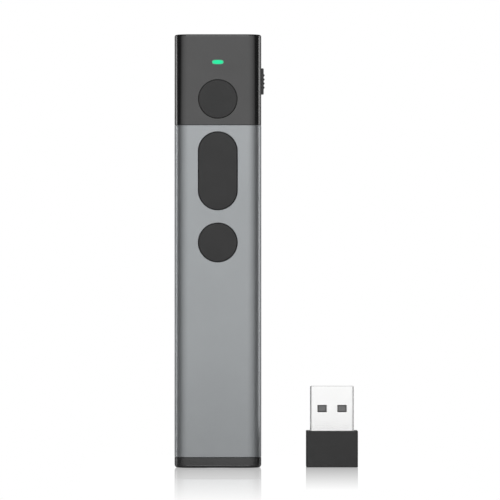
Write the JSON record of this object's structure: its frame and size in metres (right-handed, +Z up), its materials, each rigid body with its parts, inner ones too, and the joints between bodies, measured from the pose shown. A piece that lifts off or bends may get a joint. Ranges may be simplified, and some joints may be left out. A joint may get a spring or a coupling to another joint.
{
  "type": "wireless presentation clicker",
  "caption": "Slim presentation clicker with round and pill-shaped keys, a side power slider, a laser aperture on top and a separate plug-in receiver standing beside it.",
  "frame": {"origin": "centre of the receiver bay's mouth, in the clicker's bottom face", "axes": "+Z up along the clicker, -Y out of the front with the keys, +X to the side with the power slider and the receiver"},
  "size_m": [0.0503, 0.0133, 0.1186],
  "materials": {
    "tube_metal": "bead blasted and anodised grey",
    "dark_plastic": "satin, near black",
    "key_rubber": "soft matt, near black",
    "mat_rubber": "plain silicone",
    "inner_plastic": "moulded, plain",
    "spring_steel": "bright",
    "light": "clear green, lit",
    "led_body": "white",
    "slider_plastic": "satin, black",
    "board": "green solder mask",
    "chip_plastic": "moulded epoxy",
    "ceramic_blue": "glazed",
    "ceramic_tan": "sintered",
    "cell_foil": "plain foil pouch",
    "tape": "thin film",
    "brass": "turned",
    "lens_glass": "polished",
    "pane_glass": "polished, faint red tint",
    "screw_steel": "dark nickel",
    "magnet": "nickel plated",
    "receiver_plastic": "satin, near black",
    "plug_metal": "bright nickel",
    "plug_plastic": "moulded, grey",
    "gold": "gold flash"
  },
  "bodies": {
    "clicker": {"body_tube": "tube_metal", "head_shell": "dark_plastic", "end_cap": "dark_plastic", "carrier": "inner_plastic", "key_frame": "inner_plastic", "key_mat": "mat_rubber", "contact_domes": "spring_steel", "light_pipe": "light", "status_led": "led_body", "switch_can": "spring_steel", "main_board": "board", "radio_chip": "chip_plastic", "crystal": "spring_steel", "charger_chip": "chip_plastic", "chip_antenna": "ceramic_blue", "capacitors": "ceramic_tan", "battery_cell": "cell_foil", "battery_tape": "tape", "battery_tabs": "spring_steel", "laser_barrel": "brass", "laser_diode": "brass", "laser_lens": "lens_glass", "laser_pane": "pane_glass", "laser_driver_board": "board", "laser_pins": "spring_steel", "cap_screws": "screw_steel", "board_screws": "screw_steel", "charge_port_shell": "spring_steel", "charge_port_core": "inner_plastic", "bay_magnets": "magnet"},
    "laser_key": {"laser_key": "key_rubber"},
    "page_key": {"page_key": "key_rubber"},
    "lower_key": {"lower_key": "key_rubber"},
    "power_slider": {"slider_knob": "slider_plastic", "switch_lever": "inner_plastic"},
    "receiver": {"receiver_cover": "receiver_plastic", "plug_shell": "plug_metal", "plug_core": "plug_plastic", "plug_fingers": "gold", "receiver_board": "board", "receiver_chip": "chip_plastic", "receiver_crystal": "spring_steel"}
  },
  "joints": [
    {"name": "laser_key_press", "type": "slide", "parent": "clicker", "child": "laser_key", "axis": [0, 1, 0], "range_m": [0, 0.0004], "stiffness_N_per_m": 1500, "springref_m": -0.0002, "deforming": ["key_mat"]},
    {"name": "lower_key_press", "type": "slide", "parent": "clicker", "child": "lower_key", "axis": [0, 1, 0], "range_m": [0, 0.0004], "stiffness_N_per_m": 1500, "springref_m": -0.0002, "deforming": ["key_mat"]},
    {"name": "page_key_rock", "type": "hinge", "parent": "clicker", "child": "page_key", "pos_m": [0, -0.00425, 0.08125], "axis": [1, 0, 0], "range_deg": [-2, 2], "stiffness_Nm_per_rad": 0.2, "deforming": ["key_mat"]},
    {"name": "power_slide", "type": "slide", "parent": "clicker", "child": "power_slider", "axis": [0, 0, -1], "range_m": [0, 0.0024]},
    {"name": "receiver_lift", "type": "slide", "parent": "clicker", "child": "receiver", "axis": [0, 0, 1], "range_m": [0, 0.06]}
  ]
}
